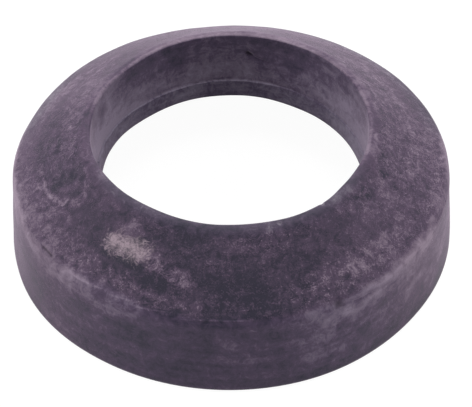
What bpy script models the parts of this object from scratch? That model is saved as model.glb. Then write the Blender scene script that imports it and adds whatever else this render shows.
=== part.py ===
"""Tank to bowl gasket: one moulded rubber ring, turned about +Z, with its cone upwards.

Blender 4.5, in metres. The ring stands on the flat rim of its base at Z = 0, and its axis is the
Z axis. The cone seals in the bowl's inlet, and the recess below takes the flush valve's nut.
"""

import math

import bpy
from mathutils import Vector

# Outside of the ring: a band that narrows a little upwards, then the cone.
BASE_RADIUS = 0.0450
BAND_DRAFT = 0.0014
SHOULDER_HEIGHT = 0.0178
CONE_HEIGHT = 0.0097

# Bore, from its narrowest place at the lip up to the crest of the cone.
LIP_RADIUS = 0.0265
LIP_HEIGHT = 0.0039
LIP_TAPER = 0.0003
LEDGE_WIDTH = 0.0003
BORE_DRAFT = 0.0003
CREST_LAND = 0.0014

# Recess for the nut, in the underside. The rim round it is what the ring stands on.
RIM_WIDTH = 0.0038
RECESS_DEPTH = 0.0120
RECESS_DRAFT = 0.0030

# Rounded edges, as radii.
CREST_OUTER_ROUND = 0.0020
SHOULDER_ROUND = 0.0026
BASE_ROUND = 0.0012
MOUTH_ROUND = 0.0004
RECESS_ROUND = 0.0015
LIP_ROUND = 0.0004
LEDGE_ROUND = 0.0001
CREST_INNER_ROUND = 0.0004

# Fineness of the mesh.
TURN_STEPS = 96
ARC_STEP = math.radians(20)

RUBBER_COLOUR = (0.105, 0.085, 0.115, 1.0)
RUBBER_ROUGHNESS = 0.8


def clear_scene():
    for obj in list(bpy.data.objects):
        bpy.data.objects.remove(obj, do_unlink=True)


def section_corners():
    """The ring's section: each corner's radius from the axis, its height and its rounding.

    They run from the crest down the outside, and back up through the recess and the bore.
    """
    crest_height = SHOULDER_HEIGHT + CONE_HEIGHT
    mouth_radius = BASE_RADIUS - RIM_WIDTH
    ledge_height = RECESS_DEPTH + LIP_HEIGHT
    ledge_inner_radius = LIP_RADIUS + LIP_TAPER
    ledge_outer_radius = ledge_inner_radius + LEDGE_WIDTH
    crest_inner_radius = ledge_outer_radius + BORE_DRAFT
    return [
        (crest_inner_radius + CREST_LAND, crest_height, CREST_OUTER_ROUND),
        (BASE_RADIUS - BAND_DRAFT, SHOULDER_HEIGHT, SHOULDER_ROUND),
        (BASE_RADIUS, 0.0, BASE_ROUND),
        (mouth_radius, 0.0, MOUTH_ROUND),
        (mouth_radius - RECESS_DRAFT, RECESS_DEPTH, RECESS_ROUND),
        (LIP_RADIUS, RECESS_DEPTH, LIP_ROUND),
        (ledge_inner_radius, ledge_height, LEDGE_ROUND),
        (ledge_outer_radius, ledge_height, LEDGE_ROUND),
        (crest_inner_radius, crest_height, CREST_INNER_ROUND),
    ]


def rounded_corner(before, corner, after, radius):
    """Points of the arc that touches both edges of a corner."""
    to_before = (before - corner).normalized()
    to_after = (after - corner).normalized()
    half_angle = to_before.angle(to_after) / 2
    centre = corner + (to_before + to_after).normalized() * radius / math.sin(half_angle)
    first = corner + to_before * radius / math.tan(half_angle) - centre
    last = corner + to_after * radius / math.tan(half_angle) - centre
    turn = math.pi - 2 * half_angle
    steps = math.ceil(turn / ARC_STEP)
    points = []
    for step in range(steps + 1):
        angle = turn * step / steps
        spoke = (first * math.sin(turn - angle) + last * math.sin(angle)) / math.sin(turn)
        points.append(centre + spoke)
    return points


def section_points():
    corners = section_corners()
    points = []
    for index, (radius, height, rounding) in enumerate(corners):
        before = Vector(corners[index - 1][:2])
        after = Vector(corners[(index + 1) % len(corners)][:2])
        points += rounded_corner(before, Vector((radius, height)), after, rounding)
    return points


def make_rubber():
    rubber = bpy.data.materials.new("rubber")
    rubber.use_nodes = True
    shader = rubber.node_tree.nodes["Principled BSDF"]
    shader.inputs["Base Color"].default_value = RUBBER_COLOUR
    shader.inputs["Roughness"].default_value = RUBBER_ROUGHNESS
    shader.inputs["Metallic"].default_value = 0.0
    return rubber


def make_gasket_ring(collection):
    """The whole gasket: its closed section at +X, turned once round the Z axis."""
    points = section_points()
    vertices = [(point.x, 0.0, point.y) for point in points]
    edges = [(index, (index + 1) % len(points)) for index in range(len(points))]
    mesh = bpy.data.meshes.new("gasket_ring")
    mesh.from_pydata(vertices, edges, [])
    mesh.materials.append(make_rubber())

    ring = bpy.data.objects.new("gasket_ring", mesh)
    collection.objects.link(ring)
    turn = ring.modifiers.new("turn", "SCREW")
    turn.axis = "Z"
    turn.angle = math.tau
    turn.steps = TURN_STEPS
    turn.render_steps = TURN_STEPS
    turn.use_merge_vertices = False
    turn.use_smooth_shade = True
    return ring


def main():
    clear_scene()
    collection = bpy.data.collections.new("tank_to_bowl_gasket")
    bpy.context.scene.collection.children.link(collection)
    make_gasket_ring(collection)


main()
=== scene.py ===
"""Looks of the tank to bowl gasket: the finely modelled rubber ring, its finish and the studio.

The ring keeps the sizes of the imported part. Metres, with the ring's axis on Z and its rim at Z = 0.
"""

import math

import bmesh
import bpy
from mathutils import Matrix, Vector
from mathutils.geometry import intersect_point_line


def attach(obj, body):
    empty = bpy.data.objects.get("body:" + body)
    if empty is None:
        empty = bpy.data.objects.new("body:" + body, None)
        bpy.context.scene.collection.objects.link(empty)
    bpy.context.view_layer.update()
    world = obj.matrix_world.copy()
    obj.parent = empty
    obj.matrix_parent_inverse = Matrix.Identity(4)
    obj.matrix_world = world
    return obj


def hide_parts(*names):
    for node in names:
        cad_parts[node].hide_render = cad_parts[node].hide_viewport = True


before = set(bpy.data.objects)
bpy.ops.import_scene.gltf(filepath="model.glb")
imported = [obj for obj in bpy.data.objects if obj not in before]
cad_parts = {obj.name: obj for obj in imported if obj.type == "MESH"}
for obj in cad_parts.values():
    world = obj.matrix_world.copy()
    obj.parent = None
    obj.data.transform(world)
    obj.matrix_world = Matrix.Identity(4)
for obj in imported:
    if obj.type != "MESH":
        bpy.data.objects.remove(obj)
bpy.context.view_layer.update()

MM = 0.001

# Sizes of the ring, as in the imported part.
BASE_RADIUS = 45.0 * MM
SHOULDER_RADIUS = 43.6 * MM
SHOULDER_HEIGHT = 17.8 * MM
CREST_HEIGHT = 27.5 * MM
CREST_OUTER_RADIUS = 28.8 * MM
CREST_INNER_RADIUS = 27.4 * MM
LEDGE_OUTER_RADIUS = 27.1 * MM
LEDGE_INNER_RADIUS = 26.8 * MM
LEDGE_HEIGHT = 15.9 * MM
LIP_RADIUS = 26.5 * MM
RECESS_DEPTH = 12.0 * MM
RECESS_RADIUS = 38.2 * MM
MOUTH_RADIUS = 41.2 * MM

# Roundings of its edges, as radii.
CREST_OUTER_ROUND = 2.0 * MM
SHOULDER_ROUND = 2.6 * MM
BASE_ROUND = 1.2 * MM
MOUTH_ROUND = 0.4 * MM
RECESS_ROUND = 1.5 * MM
LIP_ROUND = 0.4 * MM
LEDGE_ROUND = 0.1 * MM
CREST_INNER_ROUND = 0.4 * MM

# Fineness of the mesh round the ring.
AROUND = 400

# Where two places count as the same when an edge or a face is picked.
NEAR = 0.02 * MM


def spot(angle, radius, height):
    """A place on the ring: its angle in degrees, and its radius and height in millimetres."""
    turn = math.radians(angle)
    return Vector((radius * MM * math.cos(turn), radius * MM * math.sin(turn), height * MM))


# Marks of moulding and handling, as the places that each one runs through.
PARTING_LINE = [
    spot(254.0, 43.25, 17.75), spot(259.1, 43.17, 17.90), spot(263.7, 43.01, 18.08),
    spot(268.6, 43.05, 18.05), spot(273.2, 43.03, 18.06), spot(277.0, 43.05, 18.00),
]
RIGHT_RIDGE = [
    spot(306, 43.65, 16.95), spot(312, 43.50, 17.35), spot(318, 43.35, 17.60),
    spot(324, 43.35, 17.62), spot(330, 43.42, 17.50), spot(337, 43.50, 17.35),
    spot(345, 43.55, 17.20), spot(354, 43.55, 17.20),
]
FLOW_LINES = [
    [spot(236, 42.90, 18.20), spot(243, 42.50, 18.50),
     spot(252, 42.20, 18.70), spot(259, 42.40, 18.55)],
    [spot(243, 43.05, 18.00), spot(249, 42.93, 18.17),
     spot(254, 42.64, 18.41), spot(261, 42.70, 18.35)],
    [spot(244, 42.95, 18.15), spot(251, 42.96, 18.14),
     spot(257, 42.95, 18.15), spot(263, 43.00, 18.10)],
    [spot(224, 42.90, 18.20), spot(228, 42.96, 18.13),
     spot(232, 42.75, 18.33), spot(238, 42.40, 18.55)],
    [spot(271.6, 41.46, 19.20), spot(275.2, 41.50, 19.17)],
    [spot(273.6, 43.72, 16.20), spot(276.2, 43.74, 16.05)],
]
GROOVE = [spot(212.5, 42.9, 18.2), spot(215.5, 42.8, 18.3), spot(218.5, 42.9, 18.2)]
CREASE = [
    spot(299.4, 43.60, 16.90), spot(301.5, 43.66, 16.77), spot(304.8, 43.67, 16.70),
    spot(307.0, 43.62, 16.90),
]
SHOULDER_PIT = spot(296.7, 43.4, 17.5)
BAND_PIT = spot(296.1, 44.0, 12.6)
BORE_PIT = [spot(81.8, 27.3, 22.9), spot(80.6, 27.3, 22.5)]
BORE_SCORE = [spot(80.6, 27.3, 22.5), spot(77.5, 27.3, 21.8), spot(72.0, 27.3, 21.2)]
EDGE_NICKS = [spot(288.0, 28.5, 27.4), spot(307.3, 27.8, 27.5)]
SCUFF = [
    spot(232.0, 35.2, 23.3), spot(234.2, 35.1, 23.4), spot(236.4, 34.8, 23.5),
    spot(238.7, 34.6, 23.6), spot(240.8, 34.8, 23.5),
]
# Below the scuff a dark streak runs along the cone, with pale tufts beside its far end.
DARK_STREAK = [
    spot(231.6, 37.9, 21.5), spot(235.7, 37.6, 21.7), spot(239.2, 37.5, 21.8),
    spot(243.0, 37.7, 21.7), spot(246.5, 38.1, 21.4), spot(250.2, 38.6, 21.1),
]
TUFTS = [
    spot(246.4, 36.2, 22.7), spot(249.6, 36.7, 22.3), spot(252.9, 37.0, 22.1),
    spot(256.5, 37.4, 21.8),
]

# Oval flow lines in the bloom: the angle round the ring and the radius of their middle, how many
# times longer than wide they are, the half width of the clearest one, and the step between them.
FLOW_OVAL = (192.0, 33.5, 2.75, 4.15, 1.35)

# Soft patches where the bloom is thicker or, below zero, thinner, and a few painted highlights: a
# place, how far round it the patch reaches in millimetres, and how much it adds.
BLOOM_AND_LIGHT_PATCHES = [
    (spot(182.5, 32.6, 25.0), 3.0, -0.10),
    (spot(199.5, 34.1, 24.0), 4.0, -0.16),
    (spot(231.5, 33.1, 24.7), 2.6, 0.28),
    (spot(235.5, 32.1, 25.3), 2.8, 0.34),
    (spot(243.3, 35.3, 23.2), 2.6, 0.24),
    (spot(244.8, 33.8, 24.3), 2.6, 0.10),
    (spot(227.6, 36.5, 22.5), 2.6, -0.12),
    (spot(255.1, 37.0, 22.1), 2.4, 0.14),
    (spot(291.4, 39.0, 20.8), 3.0, -0.10),
    (spot(268.0, 40.0, 20.2), 4.5, -0.12),
    (spot(277.2, 40.0, 20.1), 4.0, -0.14),
    (spot(275.4, 37.8, 21.6), 3.5, -0.10),
    (spot(287.8, 40.4, 19.9), 3.0, -0.10),
    (spot(306.2, 41.6, 19.1), 3.5, 0.10),
    (spot(317.0, 41.8, 19.0), 3.5, 0.10),
    (spot(324.0, 29.8, 26.9), 3.0, -0.12),
    (spot(231.0, 27.9, 27.5), 3.0, 0.08),
    (spot(240.0, 28.0, 27.5), 3.5, 0.08),
    (spot(296.7, 43.9, 13.6), 4.5, 0.08),
    (spot(307.8, 43.9, 14.0), 3.2, 0.10),
    (spot(290.5, 44.3, 9.0), 5.5, 0.10),
    (spot(250.0, 28.5, 27.4), 4.5, 0.10),
    (spot(256.0, 28.8, 27.3), 2.8, 0.10),
    (spot(230.0, 29.2, 27.0), 3.5, -0.10),
    (spot(255.0, 30.2, 26.5), 3.0, -0.12),
    (spot(318.0, 30.4, 26.4), 3.5, -0.10),
    (spot(324.0, 32.6, 25.0), 4.0, -0.10),
    (spot(29.5, 32.9, 24.8), 5.0, -0.08),
    (spot(105.0, 27.2, 18.0), 6.0, 0.09),
    (spot(85.0, 27.2, 18.0), 6.0, 0.09),
    (spot(202.0, 41.9, 18.9), 5.0, 0.09),
    (spot(302.6, 44.4, 7.4), 4.5, -0.10),
    (spot(249.6, 44.3, 9.2), 7.0, 0.10),
    (spot(247.1, 43.8, 15.2), 5.0, 0.10),
    (spot(253.0, 40.8, 19.6), 4.0, -0.10),
    (spot(220.8, 42.7, 18.4), 2.6, -0.16),
    (spot(234.7, 42.4, 18.6), 2.8, -0.16),
    (spot(279.4, 41.8, 19.0), 4.5, -0.14),
    (spot(338.9, 31.7, 25.6), 2.8, -0.20),
    (spot(335.9, 35.5, 23.1), 2.8, -0.16),
    (spot(321.0, 28.3, 27.5), 4.5, -0.16),
    (spot(227.6, 44.0, 12.9), 5.5, -0.10),
    (spot(161.4, 27.3, 24.7), 3.0, -0.32),
    (spot(86.0, 28.3, 27.5), 6.0, 0.10),
    (spot(140.0, 27.2, 25.6), 3.5, -0.12),
    (spot(336.0, 28.1, 27.5), 2.6, 0.12),
    (spot(71.0, 30.2, 26.5), 4.0, -0.18),
    (spot(30.0, 27.3, 25.4), 4.5, -0.16),
    (spot(27.5, 28.6, 27.2), 2.8, 0.20),
    (spot(8.0, 27.2, 23.0), 6.0, -0.10),
    (spot(133.0, 27.3, 25.0), 6.0, -0.10),
    (spot(140.0, 30.5, 26.4), 4.5, -0.12),
    (spot(150.0, 34.0, 24.0), 9.0, 0.09),
    (spot(184.0, 36.0, 22.8), 7.0, -0.07),
    (spot(22.0, 41.5, 19.3), 5.0, -0.18),
    (spot(342.5, 43.1, 18.0), 4.0, 0.16),
    (spot(310.6, 43.9, 15.0), 3.5, 0.12),
    (spot(305.2, 38.5, 21.1), 3.0, 0.12),
    (spot(312.6, 38.6, 21.1), 3.0, 0.12),
    (spot(220.1, 43.6, 17.0), 3.0, -0.12),
    (spot(233.3, 42.5, 18.5), 3.0, 0.14),
    (spot(252.0, 40.6, 19.8), 3.0, 0.10),
    (spot(259.5, 40.7, 19.7), 3.0, 0.10),
    (spot(21.0, 27.3, 25.6), 3.5, -0.14),
    (spot(180.0, 27.3, 25.0), 5.5, -0.22),
    (spot(203.0, 27.3, 25.0), 5.5, -0.08),
    (spot(160.5, 27.2, 22.4), 3.2, -0.28),
    (spot(164.5, 27.1, 18.6), 3.2, 0.22),
    (spot(118.0, 27.1, 17.5), 4.5, 0.12),
    (spot(330.0, 30.2, 26.4), 3.5, -0.12),
    (spot(325.0, 31.8, 25.6), 3.0, -0.16),
    # Painted highlights along the rim of the crest at the front.
    (spot(262.0, 28.2, 27.5), 7.0, 0.10),
    (spot(283.0, 28.2, 27.5), 5.0, 0.08),
    (spot(322.0, 36.0, 22.9), 12.0, 0.09),
    (spot(290.6, 43.9, 13.4), 7.0, 0.16),
    (spot(308.3, 41.8, 19.0), 4.0, 0.10),
    (spot(317.4, 42.8, 18.3), 4.5, 0.12),
    (spot(300.4, 43.5, 17.3), 4.5, 0.10),
    (spot(299.7, 44.3, 8.7), 6.0, 0.14),
    (spot(318.0, 44.2, 14.0), 6.0, 0.12),
    (spot(291.5, 44.8, 3.5), 5.0, 0.12),
    (spot(193.3, 42.4, 18.6), 5.0, 0.12),
    (spot(167.5, 27.1, 17.2), 3.4, 0.42),
    (spot(40.0, 27.2, 18.4), 3.5, 0.12),
]

# Where the soft ring is out of true: a place, how much further from the axis it lies, how much
# higher, and how far round it the change fades out. All but the place are in millimetres.
OUT_OF_TRUE = [
    (spot(90, 27.4, 27.5), 0.22, 0.30, 22.0),
    (spot(60, 27.4, 27.5), 0.18, 0.00, 9.0),
    (spot(62, 26.5, 12.0), -0.20, 0.00, 12.0),
    (spot(125, 26.5, 12.0), -0.12, 0.00, 12.0),
    (spot(0, 26.5, 12.0), 0.20, 0.00, 8.0),
    (spot(180, 26.5, 12.0), -0.20, 0.00, 8.0),
    (spot(310, 27.4, 27.5), 0.40, 0.00, 14.0),
    (spot(286, 27.4, 27.5), 0.20, 0.00, 8.0),
    (spot(349, 27.4, 27.5), -0.30, 0.35, 10.0),
    (spot(324, 27.4, 27.5), -0.42, 0.00, 6.5),
    (spot(197, 27.4, 27.5), 0.15, -0.10, 9.0),
    (spot(40, 27.4, 27.5), 0.40, 0.00, 12.0),
    (spot(140, 27.4, 27.5), -0.30, 0.00, 10.0),
    (spot(240, 27.4, 27.5), -0.20, 0.00, 14.0),
    (spot(120, 43.6, 17.8), 0.25, 0.00, 22.0),
    (spot(62, 43.6, 17.8), 0.30, 0.00, 24.0),
    (spot(213, 45.0, 4.0), 0.35, 0.00, 20.0),
    (spot(318, 45.0, 4.0), -0.30, 0.00, 24.0),
    (spot(165, 44.0, 14.0), -0.25, 0.00, 14.0),
]


# Picking, in edit mode


def deselect_objects():
    for thing in bpy.context.selected_objects:
        thing.select_set(False)


def edit(piece):
    """Opens a piece for editing, with nothing picked."""
    bpy.context.view_layer.objects.active = piece
    bpy.ops.object.mode_set(mode="EDIT")
    bpy.ops.mesh.select_all(action="DESELECT")


def pick(piece, kind, wanted):
    """Picks the faces or edges that a test holds for."""
    bpy.ops.mesh.select_mode(type=kind)
    bpy.ops.mesh.select_all(action="DESELECT")
    mesh = bmesh.from_edit_mesh(piece.data)
    for part in mesh.faces if kind == "FACE" else mesh.edges:
        if wanted(part):
            part.select = True
    mesh.select_flush_mode()
    bmesh.update_edit_mesh(piece.data)


def radius_of(point):
    return math.hypot(point.x, point.y)


def pick_cap(piece, height, upwards):
    """Picks the flat face across the axis at a height."""

    def is_cap(face):
        faces_it = face.normal.z > 0.9 if upwards else face.normal.z < -0.9
        return faces_it and len(face.verts) == AROUND and abs(face.verts[0].co.z - height) < NEAR

    pick(piece, "FACE", is_cap)


def pick_circle(piece, radius, height):
    """Picks the circle of edges at a radius and a height."""

    def on_circle(edge):
        return all(
            abs(radius_of(v.co) - radius) < NEAR and abs(v.co.z - height) < NEAR for v in edge.verts
        )

    pick(piece, "EDGE", on_circle)


def in_recess(place):
    return place.z < RECESS_DEPTH + NEAR and radius_of(place) < MOUTH_RADIUS + MM


def pick_rungs(piece, longer_than, recess_too):
    """Picks the edges that run along the section and are longer than a length."""

    def is_rung(edge):
        first, second = (v.co for v in edge.verts)
        along = math.hypot(radius_of(first) - radius_of(second), first.z - second.z)
        return along > longer_than and (recess_too or not in_recess((first + second) / 2))

    pick(piece, "EDGE", is_rung)


def distance_to_line(place, line):
    """How far a place is from the nearest point of a line of places."""
    nearest = min((place - corner).length for corner in line)
    for start, end in zip(line, line[1:]):
        foot, along = intersect_point_line(place, start, end)
        if 0.0 < along < 1.0:
            nearest = min(nearest, (place - foot).length)
    return nearest


def box_round(line, width):
    """The lowest and highest corners of a box round a line of places, with a margin."""
    low = [min(corner[axis] for corner in line) - width for axis in range(3)]
    high = [max(corner[axis] for corner in line) + width for axis in range(3)]
    return low, high


def in_box(place, box):
    low, high = box
    return all(low[axis] < place[axis] < high[axis] for axis in range(3))


def refine_along(piece, lines, width):
    """Makes the mesh twice as fine within a distance of some lines."""
    boxes = [(line, box_round(line, width)) for line in lines]

    def is_near(face):
        middle = face.calc_center_median()
        return any(
            in_box(middle, box) and distance_to_line(middle, line) < width for line, box in boxes
        )

    pick(piece, "FACE", is_near)
    bpy.ops.mesh.subdivide(number_cuts=1)


def pull(piece, place, outwards, upwards, reach):
    """Moves the surface at a place away from the axis and up, fading out round it."""

    def is_near(edge):
        return all((v.co - place).length < 1.5 * MM for v in edge.verts)

    edit(piece)
    pick(piece, "EDGE", is_near)
    away = Vector((place.x, place.y, 0.0)).normalized() * outwards
    bpy.ops.transform.translate(
        value=(away.x, away.y, upwards),
        use_proportional_edit=True,
        proportional_edit_falloff="SMOOTH",
        proportional_size=reach,
    )
    bpy.ops.object.mode_set(mode="OBJECT")


# Working the ring's surface


def weigh(piece, name, share_at):
    """Gives each point its share, from 0 to 1, in a group that a modifier works on."""
    group = piece.vertex_groups.new(name=name)
    for vertex in piece.data.vertices:
        share = share_at(vertex.co)
        if share > 0.001:
            group.add([vertex.index], min(share, 1.0), "REPLACE")


def soft_step(value, start, end):
    """Goes smoothly from 0 to 1 while a value goes from start to end."""
    share = min(max((value - start) / (end - start), 0.0), 1.0)
    return share * share * (3.0 - 2.0 * share)


def move_surface(piece, name, height, texture=None, direction="NORMAL"):
    """Moves a group's points out by a height, or in where it is below zero."""
    modifier = piece.modifiers.new(name, "DISPLACE")
    modifier.vertex_group = name
    modifier.direction = direction
    modifier.strength = height
    modifier.mid_level = 0.5 if texture else 0.0
    if texture:
        modifier.texture = texture
        modifier.texture_coords = "LOCAL"
    bpy.ops.object.modifier_apply(modifier=name)


def work_line(piece, name, line, width, height):
    """Raises or sinks the surface along a line, fading out at both its ends."""
    start, end = line[0], line[-1]
    fade = 0.25 * sum((b - a).length for a, b in zip(line, line[1:]))
    box = box_round(line, width)

    def share_at(place):
        if not in_box(place, box):
            return 0.0
        across = distance_to_line(place, line)
        from_end = min((place - start).length, (place - end).length)
        return (1.0 - soft_step(across, 0.0, width)) * soft_step(from_end, 0.0, fade)

    weigh(piece, name, share_at)
    move_surface(piece, name, height)


def sink_pit(piece, name, line, width, depth):
    """Sinks a hollow at a place, or along a short line."""
    box = box_round(line, width)

    def share_at(place):
        if not in_box(place, box):
            return 0.0
        return 1.0 - soft_step(distance_to_line(place, line), 0.0, width)

    weigh(piece, name, share_at)
    move_surface(piece, name, -depth)


def clouds(name, size, depth):
    texture = bpy.data.textures.new(name, "CLOUDS")
    texture.noise_scale = size
    texture.noise_depth = depth
    texture.noise_basis = "ORIGINAL_PERLIN"
    return texture


# The ring


def widen(factor):
    bpy.ops.transform.resize(value=(factor, factor, 1.0), center_override=(0.0, 0.0, 0.0))


def raise_cap(height):
    bpy.ops.mesh.extrude_region_move(TRANSFORM_OT_translate={"value": (0.0, 0.0, height)})


def round_circle(piece, radius, height, rounding, segments):
    """Rounds the circle of edges at a radius and a height."""
    pick_circle(piece, radius, height)
    mesh = bmesh.from_edit_mesh(piece.data)
    turn = next(edge for edge in mesh.edges if edge.select).calc_face_angle()
    bpy.ops.mesh.bevel(
        offset=rounding * math.tan(turn / 2), segments=segments, profile=0.5, affect="EDGES"
    )


def turn_ring():
    """The ring's whole section, worked up from a cylinder."""
    deselect_objects()
    bpy.ops.mesh.primitive_cylinder_add(
        vertices=AROUND,
        radius=BASE_RADIUS,
        depth=SHOULDER_HEIGHT,
        location=(0.0, 0.0, SHOULDER_HEIGHT / 2),
        end_fill_type="NGON",
    )
    ring = bpy.context.object
    ring.name = ring.data.name = "rubber_ring"
    bpy.ops.object.transform_apply(location=True)
    edit(ring)

    # The cone, the crest and the bore, worked down from the top face.
    pick_cap(ring, SHOULDER_HEIGHT, True)
    widen(SHOULDER_RADIUS / BASE_RADIUS)
    raise_cap(CREST_HEIGHT - SHOULDER_HEIGHT)
    widen(CREST_OUTER_RADIUS / SHOULDER_RADIUS)
    bpy.ops.mesh.inset(thickness=CREST_OUTER_RADIUS - CREST_INNER_RADIUS)
    raise_cap(LEDGE_HEIGHT - CREST_HEIGHT)
    widen(LEDGE_OUTER_RADIUS / CREST_INNER_RADIUS)
    bpy.ops.mesh.inset(thickness=LEDGE_OUTER_RADIUS - LEDGE_INNER_RADIUS)
    raise_cap(RECESS_DEPTH - LEDGE_HEIGHT)
    widen(LIP_RADIUS / LEDGE_INNER_RADIUS)
    bpy.ops.mesh.delete(type="ONLY_FACE")

    # The rim and the recess, worked up from the bottom face.
    pick_cap(ring, 0.0, False)
    bpy.ops.mesh.inset(thickness=BASE_RADIUS - MOUTH_RADIUS)
    raise_cap(RECESS_DEPTH)
    widen(RECESS_RADIUS / MOUTH_RADIUS)
    bpy.ops.mesh.inset(thickness=RECESS_RADIUS - LIP_RADIUS)
    bpy.ops.mesh.delete(type="ONLY_FACE")
    bpy.ops.mesh.select_all(action="SELECT")
    bpy.ops.mesh.remove_doubles(threshold=NEAR)
    bpy.ops.mesh.normals_make_consistent(inside=False)

    # The rounded edges.
    round_circle(ring, CREST_OUTER_RADIUS, CREST_HEIGHT, CREST_OUTER_ROUND, 4)
    round_circle(ring, SHOULDER_RADIUS, SHOULDER_HEIGHT, SHOULDER_ROUND, 6)
    round_circle(ring, BASE_RADIUS, 0.0, BASE_ROUND, 5)
    round_circle(ring, MOUTH_RADIUS, 0.0, MOUTH_ROUND, 3)
    round_circle(ring, RECESS_RADIUS, RECESS_DEPTH, RECESS_ROUND, 5)
    round_circle(ring, LIP_RADIUS, RECESS_DEPTH, LIP_ROUND, 3)
    round_circle(ring, LEDGE_INNER_RADIUS, LEDGE_HEIGHT, LEDGE_ROUND, 2)
    round_circle(ring, LEDGE_OUTER_RADIUS, LEDGE_HEIGHT, LEDGE_ROUND, 2)
    round_circle(ring, CREST_INNER_RADIUS, CREST_HEIGHT, CREST_INNER_ROUND, 4)
    return ring


def refine_ring(ring):
    """Even rows of faces between the rounded edges, and a finer mesh under each mark."""
    for longer_than in (8.0 * MM, 4.0 * MM, 2.0 * MM):
        pick_rungs(ring, longer_than, True)
        bpy.ops.mesh.subdivide(number_cuts=1)
    for longer_than in (1.0 * MM, 0.6 * MM):
        pick_rungs(ring, longer_than, False)
        bpy.ops.mesh.subdivide(number_cuts=1)
    lines = [PARTING_LINE, RIGHT_RIDGE, GROOVE, CREASE, BORE_PIT, BORE_SCORE] + FLOW_LINES
    lines += [[SHOULDER_PIT], [BAND_PIT]] + [[nick] for nick in EDGE_NICKS]
    refine_along(ring, lines, 0.9 * MM)
    refine_along(ring, lines, 0.6 * MM)
    bpy.ops.object.mode_set(mode="OBJECT")


def note_section(piece):
    """Keeps each point's radius and height as moulded, for the material to read."""
    radii = [radius_of(vertex.co) for vertex in piece.data.vertices]
    heights = [vertex.co.z for vertex in piece.data.vertices]
    piece.data.attributes.new("moulded_radius", "FLOAT", "POINT").data.foreach_set("value", radii)
    piece.data.attributes.new("moulded_height", "FLOAT", "POINT").data.foreach_set("value", heights)


def note_marks(piece, name, kinds):
    """Keeps how much of some kinds of mark each point has, for the material to read."""
    shares = [0.0] * len(piece.data.vertices)
    wanted = {group.index for group in piece.vertex_groups if group.name.startswith(kinds)}
    for vertex in piece.data.vertices:
        for member in vertex.groups:
            if member.group in wanted:
                shares[vertex.index] = max(shares[vertex.index], member.weight)
    piece.data.attributes.new(name, "FLOAT", "POINT").data.foreach_set("value", shares)


def mark_ring(ring):
    """The lines, hollows and nicks that moulding and handling left."""
    work_line(ring, "ridge_front", PARTING_LINE, width=0.26 * MM, height=0.12 * MM)
    work_line(ring, "ridge_right", RIGHT_RIDGE, width=0.45 * MM, height=0.10 * MM)
    for number, line in enumerate(FLOW_LINES):
        work_line(ring, f"ridge_flow_{number}", line, width=0.30 * MM, height=0.05 * MM)
    work_line(ring, "hollow_groove", GROOVE, width=0.45 * MM, height=-0.25 * MM)
    work_line(ring, "dent_crease", CREASE, width=0.45 * MM, height=-0.22 * MM)
    sink_pit(ring, "hollow_shoulder", [SHOULDER_PIT], width=1.80 * MM, depth=0.55 * MM)
    sink_pit(ring, "dent_band", [BAND_PIT], width=0.80 * MM, depth=0.14 * MM)
    sink_pit(ring, "hollow_bore", BORE_PIT, width=0.85 * MM, depth=0.55 * MM)
    sink_pit(ring, "score_bore", BORE_SCORE, width=0.35 * MM, depth=0.12 * MM)
    for number, nick in enumerate(EDGE_NICKS):
        sink_pit(ring, f"nick_{number}", [nick], width=0.80 * MM, depth=0.25 * MM)
    note_marks(ring, "raised_marks", ("ridge", "nick"))
    note_marks(ring, "hollow_marks", ("hollow",))


def on_ring(place):
    """All of the ring but its rim, which stays flat."""
    return soft_step(place.z, 0.5 * MM, 4.0 * MM)


def on_cone(place):
    above_shoulder = soft_step(place.z, 17.5 * MM, 18.8 * MM)
    return above_shoulder * soft_step(radius_of(place), 28.2 * MM, 29.6 * MM)


def on_ledge(place):
    by_height = 1.0 - soft_step(abs(place.z - LEDGE_HEIGHT), 0.3 * MM, 1.5 * MM)
    return (1.0 - soft_step(radius_of(place), 26.9 * MM, 27.2 * MM)) * by_height


def wear_ring(ring):
    """The uneven, slightly out of true surface of soft moulded rubber."""
    weigh(ring, "whole", on_ring)
    move_surface(ring, "whole", 0.5 * MM, clouds("slow_waves", 14 * MM, 1))
    weigh(ring, "cone", on_cone)
    move_surface(ring, "cone", 0.09 * MM, clouds("rough_cone", 1.6 * MM, 2))
    weigh(ring, "ledge", on_ledge)
    move_surface(ring, "ledge", 0.5 * MM, clouds("uneven_ledge", 3.0 * MM, 1), direction="Z")
    for place, outwards, upwards, reach in OUT_OF_TRUE:
        pull(ring, place, outwards * MM, upwards * MM, reach * MM)
    ring.vertex_groups.clear()
    bpy.ops.object.shade_smooth()


# Working out the rubber's colour


def put(tree, socket, value):
    """Links another node's output to a socket, or writes a plain value in it."""
    if isinstance(value, bpy.types.NodeSocket):
        tree.links.new(value, socket)
    else:
        socket.default_value = value


def calculate(tree, operation, *values):
    node = tree.nodes.new("ShaderNodeMath")
    node.operation = operation
    for socket, value in zip(node.inputs, values):
        put(tree, socket, value)
    return node.outputs["Value"]


def add(tree, *values):
    total = values[0]
    for value in values[1:]:
        total = calculate(tree, "ADD", total, value)
    return total


def times(tree, *values):
    product = values[0]
    for value in values[1:]:
        product = calculate(tree, "MULTIPLY", product, value)
    return product


def less(tree, value, taken):
    return calculate(tree, "SUBTRACT", value, taken)


def rest_of(tree, share):
    """What a share leaves of the whole."""
    return less(tree, 1.0, share)


def apart(tree, first, second):
    """How far two values are from each other."""
    return calculate(tree, "ABSOLUTE", less(tree, first, second))


def ramp(tree, value, start, end, low=0.0, high=1.0):
    """Goes smoothly from low to high while a value goes from start to end."""
    node = tree.nodes.new("ShaderNodeMapRange")
    node.interpolation_type = "SMOOTHSTEP"
    put(tree, node.inputs["Value"], value)
    node.inputs["From Min"].default_value = start
    node.inputs["From Max"].default_value = end
    node.inputs["To Min"].default_value = low
    node.inputs["To Max"].default_value = high
    return node.outputs["Result"]


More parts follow.
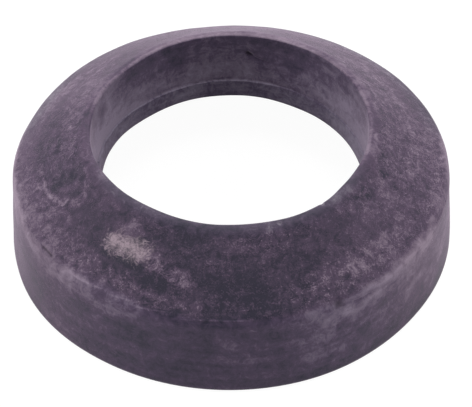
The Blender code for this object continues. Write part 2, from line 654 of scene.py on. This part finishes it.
def noise(tree, place, scale, detail, roughness=0.5, distortion=0.0):
    node = tree.nodes.new("ShaderNodeTexNoise")
    put(tree, node.inputs["Vector"], place)
    node.inputs["Scale"].default_value = scale
    node.inputs["Detail"].default_value = detail
    node.inputs["Roughness"].default_value = roughness
    node.inputs["Distortion"].default_value = distortion
    return node.outputs["Fac"]


def blend(tree, share, first, second):
    """A colour between two, by a share of the second."""
    node = tree.nodes.new("ShaderNodeMix")
    node.data_type = "RGBA"
    put(tree, node.inputs[0], share)
    put(tree, node.inputs[6], first)
    put(tree, node.inputs[7], second)
    return node.outputs[2]


def tint(tree, share, colour, other):
    """A colour dyed by a share of another."""
    dyed = blend(tree, share, colour, other)
    dyed.node.blend_type = "MULTIPLY"
    return dyed


def join(tree, x, y, z):
    node = tree.nodes.new("ShaderNodeCombineXYZ")
    for socket, value in zip(node.inputs, (x, y, z)):
        put(tree, socket, value)
    return node.outputs["Vector"]


def distance_from(tree, place, mark):
    node = tree.nodes.new("ShaderNodeVectorMath")
    node.operation = "DISTANCE"
    put(tree, node.inputs[0], place)
    node.inputs[1].default_value = mark
    return node.outputs["Value"]


def stretched_noise(tree, coordinates, scale, stretch, detail, roughness=0.5):
    """Noise drawn out round the ring, by as many times as the stretch."""
    node = tree.nodes.new("ShaderNodeTexNoise")
    node.noise_dimensions = "4D"
    squeezed = LIP_RADIUS / stretch
    put(tree, node.inputs["Vector"], join(
        tree,
        times(tree, coordinates["cosine"], squeezed),
        times(tree, coordinates["sine"], squeezed),
        coordinates["height"],
    ))
    put(tree, node.inputs["W"], coordinates["radius"])
    node.inputs["Scale"].default_value = scale
    node.inputs["Detail"].default_value = detail
    node.inputs["Roughness"].default_value = roughness
    return node.outputs["Fac"]


def kept_value(tree, name):
    """A value that the mesh keeps for each of its points."""
    node = tree.nodes.new("ShaderNodeAttribute")
    node.attribute_name = name
    return node.outputs["Fac"]


def ring_coordinates(tree):
    """The place, the radius and height as moulded, and the direction round the ring."""
    source = tree.nodes.new("ShaderNodeTexCoord")
    split = tree.nodes.new("ShaderNodeSeparateXYZ")
    put(tree, split.inputs["Vector"], source.outputs["Object"])
    x, y = split.outputs["X"], split.outputs["Y"]
    from_axis = calculate(tree, "SQRT", add(tree, times(tree, x, x), times(tree, y, y)))
    return {
        "place": source.outputs["Object"],
        "radius": kept_value(tree, "moulded_radius"),
        "height": kept_value(tree, "moulded_height"),
        "cosine": calculate(tree, "DIVIDE", x, from_axis),
        "sine": calculate(tree, "DIVIDE", y, from_axis),
    }


def middle(tree, value, reach):
    """A noise value turned to swing by a reach either side of nothing."""
    return times(tree, less(tree, value, 0.5), 2.0 * reach)


# Parts of the ring where the bloom differs and where light and shade are painted, as shares from 0 to
# 1


def shoulder_level(tree, at, sway):
    """The height, as the uneven upper edge of the smooth shoulder goes by it.

    The shoulder reaches higher up the cone on the right and at the front left.
    """
    on_right = ramp(tree, at["cosine"], 0.35, 0.95, 0.0, 0.5 * MM)
    front_left = times(
        tree,
        ramp(tree, at["sine"], -0.50, -0.66),
        ramp(tree, at["cosine"], -0.34, -0.52, 0.0, 0.8 * MM),
    )
    level = less(tree, at["height"], add(tree, on_right, front_left))
    return add(tree, level, times(tree, sway, 2.2 * MM))


def shoulder_zone(tree, at, sway, level, outside):
    """The shoulder starts softly on the band and ends where the rough cone starts."""
    below = add(tree, at["height"], times(tree, sway, 3.0 * MM))
    aside = calculate(tree, "ABSOLUTE", at["cosine"])
    return times(
        tree,
        ramp(tree, below, 12.5 * MM, 19.4 * MM),
        ramp(tree, level, 20.6 * MM, 18.7 * MM),
        outside,
        ramp(tree, aside, 0.10, 0.60),
    )


def back_crest_highlight_zone(tree, at):
    """The top of the crest at the back, where a painted highlight goes."""
    return times(
        tree,
        ramp(tree, at["radius"], 31.0 * MM, 29.0 * MM),
        ramp(tree, at["height"], 25.8 * MM, 26.8 * MM),
        ramp(tree, at["sine"], 0.1, 0.8),
    )


def crest_edge_highlight_zone(tree, at):
    """A painted highlight: a thin pale line along the inner edge of the crest, except at the front.
    """
    back_left = times(
        tree,
        ramp(tree, at["cosine"], -0.50, -0.68),
        ramp(tree, at["sine"], -0.05, 0.15, 0.0, 0.22),
    )
    strength = add(
        tree,
        ramp(tree, at["cosine"], 0.86, 0.99, 0.0, 0.24),
        ramp(tree, at["sine"], 0.50, 0.95, 0.0, 0.12),
        back_left,
    )
    return times(
        tree,
        ramp(tree, at["radius"], 27.40 * MM, 27.55 * MM),
        ramp(tree, at["radius"], 28.4 * MM, 27.9 * MM),
        ramp(tree, at["height"], 26.9 * MM, 27.2 * MM),
        strength,
    )


def greyer_zone(tree, at, outside):
    """The rim of the crest at the front, and the foot of the cone at the back."""
    front_rim = times(
        tree,
        ramp(tree, at["radius"], 30.3 * MM, 28.6 * MM),
        ramp(tree, at["height"], 25.6 * MM, 26.4 * MM),
        ramp(tree, at["sine"], -0.35, -0.65),
    )
    back_foot = times(
        tree,
        ramp(tree, at["height"], 21.0 * MM, 18.8 * MM),
        outside,
        ramp(tree, at["sine"], 0.05, 0.3),
    )
    return calculate(tree, "MAXIMUM", front_rim, back_foot)


def front_right_zone(tree, at, outside):
    """The band at the front right, from its shoulder down, fading to its foot and to the right."""
    return times(
        tree,
        ramp(tree, at["cosine"], 0.15, 0.32),
        ramp(tree, at["cosine"], 0.72, 0.60),
        ramp(tree, at["height"], 18.7 * MM, 17.9 * MM),
        ramp(tree, at["sine"], -0.3, -0.6),
        ramp(tree, at["height"], 2.0 * MM, 13.0 * MM, 0.2, 1.0),
        ramp(tree, at["cosine"], 0.46, 0.58, 1.0, 0.1),
        outside,
    )


def ledge_highlight_zone(tree, at, sway, inside):
    """A painted highlight along the edge of the ledge, in uneven lengths that fade out on the right.
    """
    return times(
        tree,
        inside,
        ramp(tree, apart(tree, at["height"], 16.0 * MM), 0.30 * MM, 0.05 * MM),
        ramp(tree, sway, 0.35, 0.65),
        ramp(tree, at["cosine"], 0.40, 0.60, 1.0, 0.1),
    )


def bloom_zones(tree, at):
    sway = noise(tree, at["place"], 160.0, 3.0)
    level = shoulder_level(tree, at, sway)
    outside = ramp(tree, at["radius"], 28.5 * MM, 30.8 * MM)
    inside = ramp(tree, at["radius"], 27.50 * MM, 27.42 * MM)
    above_ledge = ramp(tree, at["height"], 15.8 * MM, 16.1 * MM)
    return {
        "cone": times(tree, ramp(tree, level, 18.6 * MM, 19.9 * MM), outside),
        "shoulder": shoulder_zone(tree, at, sway, level, outside),
        "front_right": front_right_zone(tree, at, outside),
        "back_crest_highlight": back_crest_highlight_zone(tree, at),
        "crest_edge_highlight": crest_edge_highlight_zone(tree, at),
        "greyer": greyer_zone(tree, at, outside),
        "inside": inside,
        "bore": times(tree, inside, above_ledge),
        "lip": times(tree, inside, rest_of(tree, above_ledge)),
        "ledge": ledge_highlight_zone(tree, at, sway, inside),
    }


# Patterns in the bloom


def nearest_of(tree, place, marks):
    """How far a place is from the nearest of some marks."""
    near = distance_from(tree, place, marks[0])
    for mark in marks[1:]:
        near = calculate(tree, "MINIMUM", near, distance_from(tree, place, mark))
    return near


def swayed_place(tree, at):
    """The place moved by up to 2 mm each way, so that what is measured from it has uneven edges."""
    source = tree.nodes.new("ShaderNodeTexNoise")
    put(tree, source.inputs["Vector"], at["place"])
    source.inputs["Scale"].default_value = 330.0
    source.inputs["Detail"].default_value = 3.0
    wobble = tree.nodes.new("ShaderNodeVectorMath")
    wobble.operation = "MULTIPLY_ADD"
    put(tree, wobble.inputs[0], source.outputs["Color"])
    wobble.inputs[1].default_value = (4.0 * MM, 4.0 * MM, 4.0 * MM)
    wobble.inputs[2].default_value = (-2.0 * MM, -2.0 * MM, -2.0 * MM)
    moved = tree.nodes.new("ShaderNodeVectorMath")
    moved.operation = "ADD"
    put(tree, moved.inputs[0], at["place"])
    put(tree, moved.inputs[1], wobble.outputs["Vector"])
    return moved.outputs["Vector"]


def patch_bloom_and_light(tree, place, streak):
    """What the soft patches of bloom and painted highlight add, and the dark streak takes away."""
    total = 0.0
    for patch, reach, share in BLOOM_AND_LIGHT_PATCHES:
        gap = distance_from(tree, place, patch)
        total = add(tree, total, ramp(tree, gap, reach * MM, 0.2 * reach * MM, 0.0, share))
    return add(tree, total, times(tree, streak, -0.20))


def fine_flecks(tree, at):
    """Thin curly flecks and tiny specks."""
    curls = noise(tree, at["place"], 1250.0, 1.0, 0.5, 1.8)
    lines = ramp(tree, apart(tree, curls, 0.5), 0.07, 0.0)
    broken = ramp(tree, noise(tree, at["place"], 900.0, 2.0, 0.6), 0.42, 0.60)
    specks = ramp(tree, noise(tree, at["place"], 2300.0, 1.0), 0.60, 0.74)
    return calculate(tree, "MAXIMUM", times(tree, lines, broken), specks)


def bloom_cover_and_front_shade(tree, at):
    """How thick the rough bloom lies on the cone, in drawn-out patches; it is thinnest at the front,
    where this is painted shade.
    """
    drawn = stretched_noise(tree, at, 130.0, 2.4, 3.0, 0.55)
    cover = add(
        tree,
        0.62,
        ramp(tree, at["cosine"], -0.2, 0.7, 0.0, 0.10),
        ramp(tree, at["sine"], -0.45, -1.0, 0.0, -0.22),
        middle(tree, drawn, 1.05),
    )
    return ramp(tree, cover, 0.05, 0.95)


def tufts(tree, at, mottle):
    """Pale curly tufts near the scuff."""
    curls = noise(tree, at["place"], 800.0, 2.0, 0.6, 1.8)
    gap = less(tree, nearest_of(tree, at["place"], TUFTS), times(tree, curls, 3.0 * MM))
    return times(tree, ramp(tree, gap, 1.0 * MM, -0.8 * MM), ramp(tree, mottle, 0.35, 0.60))


def scuff_share(tree, at, mottle):
    """The pale rubbed patch on the cone, with curly ragged edges."""
    curls = noise(tree, at["place"], 900.0, 3.0, 0.6, 1.8)
    edge = less(tree, nearest_of(tree, at["place"], SCUFF), times(tree, curls, 6.5 * MM))
    share = ramp(tree, edge, -0.2 * MM, -3.0 * MM)
    return times(tree, share, ramp(tree, mottle, 0.32, 0.58, 0.30, 1.0))


def oval_lines(tree, at):
    """Light and dark lines round the middle of the drawn-out oval, clearest at its near end."""
    angle, radius, longer, clearest, step = FLOW_OVAL
    cosine, sine = math.cos(math.radians(angle)), math.sin(math.radians(angle))
    ahead = add(tree, times(tree, at["cosine"], cosine), times(tree, at["sine"], sine))
    aside = add(tree, times(tree, at["sine"], cosine), times(tree, at["cosine"], -sine))
    round_ring = times(tree, calculate(tree, "ARCTAN2", aside, ahead), radius * MM / longer)
    across = less(tree, at["radius"], radius * MM)
    squares = add(tree, times(tree, round_ring, round_ring), times(tree, across, across))
    wander = middle(tree, noise(tree, at["place"], 240.0, 3.0, 0.6), 0.9 * MM)
    gap = add(tree, calculate(tree, "SQRT", squares), wander)
    turns = times(tree, add(tree, gap, -clearest * MM), math.tau / (step * MM))
    lines = times(
        tree,
        calculate(tree, "COSINE", turns),
        ramp(tree, gap, (clearest + 1.8) * MM, clearest * MM),
        ramp(tree, gap, 0.8 * MM, clearest * MM, 0.2, 0.5),
    )
    clearest_line = ramp(tree, apart(tree, gap, clearest * MM), 0.8 * MM, 0.2 * MM)
    return times(tree, add(tree, lines, clearest_line), ramp(tree, aside, -0.15, 0.15, 0.30, 1.0))


def bore_runs(tree, at):
    """Upright light and dark runs down the bore wall, left by the mould's core."""
    squashed = join(
        tree,
        times(tree, at["cosine"], LIP_RADIUS),
        times(tree, at["sine"], LIP_RADIUS),
        times(tree, at["height"], 0.15),
    )
    return noise(tree, squashed, 330.0, 3.0, 0.6)


# The rubber, from its patterns and zones

DARK_RUBBER = (0.029, 0.0262, 0.044, 1.0)
MAUVE_BLOOM = (0.0900, 0.0610, 0.1025, 1.0)
PALE_BLOOM = (0.266, 0.208, 0.268, 1.0)
SCUFFED = (0.392, 0.305, 0.352, 1.0)
BORE_TINT = (0.920, 0.930, 1.000, 1.0)
GREYER = (0.870, 1.000, 0.935, 1.0)
FRONT_TINT = (0.930, 0.975, 1.030, 1.0)
# Painted shade for the hollows, laid over the deepest marks.
HOLLOW_SHADE = (0.018, 0.013, 0.022, 1.0)
SHEEN_TINT = (1.0, 0.82, 1.0, 1.0)


def bore_painted_light(tree, at, aside):
    """Painted light and shade on the bore: paler at its sides and low down, and darker just under the
    crest.
    """
    shade_under_crest = times(
        tree,
        ramp(tree, at["height"], 25.4 * MM, 27.0 * MM, 0.0, -0.22),
        ramp(tree, at["sine"], 0.0, 0.5, 0.3, 1.0),
        ramp(tree, at["cosine"], -0.68, -0.86, 1.0, 0.1),
    )
    return add(
        tree,
        ramp(tree, aside, 0.35, 0.95, -0.02, 0.38),
        ramp(tree, at["height"], 25.5 * MM, 16.5 * MM, -0.09, 0.24),
        shade_under_crest,
    )


def lip_painted_light(tree, at, aside):
    """Painted light on the lip: paler at its sides, most of all on the right."""
    return add(
        tree,
        ramp(tree, aside, 0.35, 0.95, 0.09, 0.18),
        ramp(tree, at["cosine"], 0.2, 0.65, 0.0, 0.16),
    )


def shoulder_bloom_and_light(tree, at):
    """The shoulder's bloom is palest on the left; painted shade makes it fade at the far right and at
    the back right, where the sheen lights it.
    """
    far_right_shade = times(
        tree,
        ramp(tree, at["sine"], 0.05, 0.30, 0.0, -0.26),
        ramp(tree, at["cosine"], 0.3, 0.6),
    )
    return add(
        tree,
        ramp(tree, at["cosine"], -0.3, 0.5, 0.40, 0.26),
        ramp(tree, at["cosine"], 0.85, 0.98, 0.0, -0.14),
        far_right_shade,
    )


def band_bloom_and_shade(tree, at, zone):
    """The band is paler on the right, in soft blotches, and has painted shade towards its foot."""
    right = times(tree, ramp(tree, at["cosine"], 0.1, 0.5), rest_of(tree, zone["inside"]))
    blotches = middle(tree, noise(tree, at["place"], 230.0, 2.0), 0.45)
    # Painted shade towards the foot of the band, by the floor.
    foot = times(
        tree,
        ramp(tree, at["height"], 11.0 * MM, 2.0 * MM),
        ramp(tree, at["cosine"], 0.2, 0.7, -0.06, -0.22),
    )
    return add(tree, foot, times(tree, right, add(tree, 0.03, blotches)))


def smooth_bloom_and_light(tree, at, zone, front, mottle, streaks):
    """The smooth parts have an even bloom, with slow patches and streaks round the ring, and painted
    light and shade.
    """
    aside = calculate(tree, "ABSOLUTE", at["cosine"])
    slow_patches = noise(tree, at["place"], 75.0, 3.0, 0.5, 0.4)
    # A painted highlight along the edge of the ledge.
    ledge_highlight = times(tree, zone["ledge"], ramp(tree, mottle, 0.35, 0.60, 0.3, 1.0))
    return add(
        tree,
        0.40,
        # Painted shade at the front.
        times(tree, front, -0.15),
        # Painted light and shade on the bore wall.
        times(tree, zone["bore"], bore_painted_light(tree, at, aside)),
        # Painted light on the lip.
        times(tree, zone["lip"], lip_painted_light(tree, at, aside)),
        # A painted highlight on the top of the crest at the back.
        times(tree, zone["back_crest_highlight"], 0.25),
        # A painted highlight along the inner edge of the crest.
        zone["crest_edge_highlight"],
        # The shoulder's bloom, with painted shade at its far right.
        times(tree, zone["shoulder"], shoulder_bloom_and_light(tree, at)),
        times(tree, ledge_highlight, 0.60),
        band_bloom_and_shade(tree, at, zone),
        middle(tree, slow_patches, 0.50),
        middle(tree, streaks, 0.38),
        middle(tree, mottle, 0.64),
        times(tree, zone["bore"], middle(tree, bore_runs(tree, at), 0.14)),
        times(tree, zone["front_right"], 0.11),
    )


def rough_bloom_and_shade(tree, at, front, mottle, streaks, flecks, streak):
    """The rough cone has flecks and mottle, as thick as the bloom lies, and painted shade at the
    front.
    """
    cover = bloom_cover_and_front_shade(tree, at)
    drawn = add(tree, 0.26, middle(tree, streaks, 0.30))
    front_flecks = times(tree, flecks, ramp(tree, at["sine"], -0.4, -1.0, 0.26, 0.50))
    fine = times(
        tree,
        add(tree, middle(tree, mottle, 0.95), front_flecks),
        rest_of(tree, times(tree, streak, 0.6)),
    )
    # It thickens towards the shoulder at the back and on the far left.
    low_down = times(
        tree,
        ramp(tree, at["height"], 22.5 * MM, 18.4 * MM),
        add(
            tree,
            ramp(tree, at["sine"], -0.3, 0.3, 0.0, 0.16),
            ramp(tree, at["cosine"], -0.72, -0.97, 0.0, 0.22),
        ),
    )
    return add(
        tree,
        times(tree, drawn, add(tree, 0.25, times(tree, cover, 0.95))),
        times(tree, oval_lines(tree, at), ramp(tree, mottle, 0.35, 0.60, 0.05, 0.24)),
        times(tree, tufts(tree, at, mottle), 0.42),
        times(tree, fine, add(tree, 0.50, times(tree, cover, 0.65))),
        # Painted shade at the front.
        times(tree, front, -0.13),
        low_down,
        ramp(tree, at["cosine"], 0.0, 0.5, 0.08, 0.11),
    )


def whole_bloom_and_light(tree, at, zone, front, mottle, flecks):
    """How thick the bloom lies anywhere on the ring, from 0 to 1, with painted light and shade worked
    in.
    """
    streaks = stretched_noise(tree, at, 520.0, 7.0, 4.0, 0.65)
    swayed = swayed_place(tree, at)
    streak = ramp(tree, nearest_of(tree, swayed, DARK_STREAK), 2.2 * MM, 0.8 * MM)
    rough = rough_bloom_and_shade(tree, at, front, mottle, streaks, flecks, streak)
    smooth = smooth_bloom_and_light(tree, at, zone, front, mottle, streaks)
    ground = add(
        tree,
        times(tree, rough, zone["cone"]),
        times(tree, smooth, rest_of(tree, zone["cone"])),
    )
    raised = kept_value(tree, "raised_marks")
    bloom_and_light = add(
        tree,
        ground,
        patch_bloom_and_light(tree, swayed, streak),
        # The ridges and nicks are paler: bloom on them, with a painted highlight along the ridges.
        times(tree, raised, ramp(tree, mottle, 0.35, 0.60, 0.08, 0.24)),
        ramp(tree, nearest_of(tree, at["place"], EDGE_NICKS), 0.8 * MM, 0.3 * MM, 0.0, 0.36),
    )
    return calculate(tree, "MINIMUM", calculate(tree, "MAXIMUM", bloom_and_light, 0.0), 1.0)


def bloom_colour(tree, bloom_and_light):
    """From the dark ground through mauve to pale, as the bloom thickens."""
    colours = tree.nodes.new("ShaderNodeValToRGB")
    put(tree, colours.inputs["Fac"], bloom_and_light)
    stops = colours.color_ramp.elements
    stops[0].color = DARK_RUBBER
    stops[1].color = PALE_BLOOM
    stops.new(0.42).color = MAUVE_BLOOM
    return colours.outputs["Color"]


def rubber_colour(tree, bloom_and_light, zone, front, scuff):
    """The bloom's colour, tinted inside and at the front, with the scuff and painted shade in the
    hollows over it.
    """
    colour = tint(tree, zone["inside"], bloom_colour(tree, bloom_and_light), BORE_TINT)
    colour = tint(tree, zone["greyer"], colour, GREYER)
    grey_wall = add(tree, times(tree, zone["lip"], 0.7), times(tree, zone["bore"], 0.35))
    colour = tint(tree, grey_wall, colour, GREYER)
    bluer = times(tree, rest_of(tree, zone["cone"]), rest_of(tree, zone["greyer"]))
    colour = tint(tree, times(tree, front, bluer), colour, FRONT_TINT)
    colour = blend(tree, times(tree, scuff, 0.85), colour, SCUFFED)
    # The hollows are darkened with painted shade.
    hollow = kept_value(tree, "hollow_marks")
    return blend(tree, times(tree, hollow, 0.65), colour, HOLLOW_SHADE)


def rubber_relief(tree, at, zone, mottle, flecks, scuff):
    """The finest roughness of the surface, strongest on the cone."""
    grain = add(tree, times(tree, flecks, 0.6), middle(tree, mottle, 0.25))
    height = add(
        tree,
        times(tree, grain, add(tree, 0.25, times(tree, zone["cone"], 0.75))),
        times(tree, scuff, 0.5),
        times(tree, noise(tree, at["place"], 3200.0, 2.0), 0.15),
    )
    bump = tree.nodes.new("ShaderNodeBump")
    bump.inputs["Strength"].default_value = 0.7
    bump.inputs["Distance"].default_value = 0.12 * MM
    put(tree, bump.inputs["Height"], height)
    return bump.outputs["Normal"]


def make_rubber():
    rubber = bpy.data.materials.new("rubber")
    rubber.use_nodes = True
    tree = rubber.node_tree
    at = ring_coordinates(tree)
    zone = bloom_zones(tree, at)
    front = ramp(tree, at["sine"], -0.55, -1.0)
    mottle = noise(tree, at["place"], 520.0, 4.0, 0.85, 0.6)
    flecks = fine_flecks(tree, at)
    scuff = scuff_share(tree, at, mottle)
    bloom_and_light = whole_bloom_and_light(tree, at, zone, front, mottle, flecks)

    shader = tree.nodes["Principled BSDF"].inputs
    put(tree, shader["Base Color"], rubber_colour(tree, bloom_and_light, zone, front, scuff))
    put(tree, shader["Roughness"], add(tree, 0.55, times(tree, bloom_and_light, 0.30)))
    put(tree, shader["Normal"], rubber_relief(tree, at, zone, mottle, flecks, scuff))
    shader["Specular IOR Level"].default_value = 0.15
    shader["Sheen Weight"].default_value = 0.35
    shader["Sheen Roughness"].default_value = 0.40
    shader["Sheen Tint"].default_value = SHEEN_TINT
    return rubber


# Studio

WHITE = (1.0, 1.0, 1.0, 1.0)
FLOOR_GLOW = 0.96
FLOOR_LIT = (0.8, 0.8, 0.8, 1.0)
FLOOR_SEEN = (0.07, 0.07, 0.07, 1.0)


def make_camera():
    elevation = math.radians(45.06)
    distance = 348.5 * MM
    focal_pixels = 1680.0
    picture_width = 472.0
    data = bpy.data.cameras.new("camera")
    data.sensor_width = 36.0
    data.lens = focal_pixels / picture_width * data.sensor_width
    camera = bpy.data.objects.new("camera", data)
    bpy.context.scene.collection.objects.link(camera)
    back = Vector((0.0, -math.cos(elevation), math.sin(elevation)))
    aim = (-back).to_track_quat("-Z", "Y").to_matrix().to_4x4()
    pan = Matrix.Rotation(math.radians(-0.161), 4, "Y")
    tilt = Matrix.Rotation(math.radians(0.696), 4, "X")
    roll = Matrix.Rotation(math.radians(-0.752), 4, "Z")
    camera.matrix_world = Matrix.Translation(back * distance) @ aim @ pan @ tilt @ roll
    bpy.context.scene.camera = camera


def make_lamp(name, place, size, power):
    """A square soft lamp that shines at the ring."""
    data = bpy.data.lights.new(name, "AREA")
    data.shape = "SQUARE"
    data.size = size
    data.energy = power
    lamp = bpy.data.objects.new(name, data)
    bpy.context.scene.collection.objects.link(lamp)
    lamp.location = place
    target = Vector((0.0, 0.0, CREST_HEIGHT / 2))
    lamp.rotation_euler = (target - lamp.location).to_track_quat("-Z", "Y").to_euler()


def make_lamps():
    make_lamp("left_lamp", (-0.60, -0.05, 0.30), size=0.40, power=2.6)
    make_lamp("right_lamp", (0.60, -0.05, 0.30), size=0.40, power=2.2)
    make_lamp("back_lamp", (0.0, 0.60, 0.45), size=0.50, power=3.4)
    make_lamp("top_lamp", (0.0, 0.0, 0.80), size=0.50, power=2.8)
    make_lamp("front_lamp", (0.0, -0.60, 0.60), size=0.50, power=0.5)


def make_world():
    world = bpy.data.worlds.new("studio")
    world.use_nodes = True
    background = world.node_tree.nodes["Background"].inputs
    background["Color"].default_value = WHITE
    background["Strength"].default_value = 0.05
    bpy.context.scene.world = world


def make_floor():
    """To the camera and to reflections it is nearly white, with only a faint shadow."""
    deselect_objects()
    bpy.ops.mesh.primitive_plane_add(size=6.0, location=(0.0, 0.0, -0.05 * MM))
    floor = bpy.context.object
    floor.name = "floor"
    bpy.ops.object.transform_apply(location=True)
    material = bpy.data.materials.new("floor_white")
    material.use_nodes = True
    tree = material.node_tree
    shader = tree.nodes["Principled BSDF"].inputs
    ray = tree.nodes.new("ShaderNodeLightPath").outputs
    seen = calculate(tree, "MAXIMUM", ray["Is Camera Ray"], ray["Is Glossy Ray"])
    seen = calculate(tree, "MAXIMUM", seen, ray["Is Transmission Ray"])
    shader["Roughness"].default_value = 0.9
    shader["Emission Color"].default_value = WHITE
    put(tree, shader["Emission Strength"], times(tree, seen, FLOOR_GLOW))
    put(tree, shader["Base Color"], blend(tree, seen, FLOOR_LIT, FLOOR_SEEN))
    floor.data.materials.append(material)


ring = turn_ring()
refine_ring(ring)
note_section(ring)
mark_ring(ring)
wear_ring(ring)
ring.data.materials.append(make_rubber())
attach(ring, "root")
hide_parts("gasket_ring")

make_floor()
make_world()
make_lamps()
make_camera()
bpy.context.scene.view_settings.view_transform = "Standard"
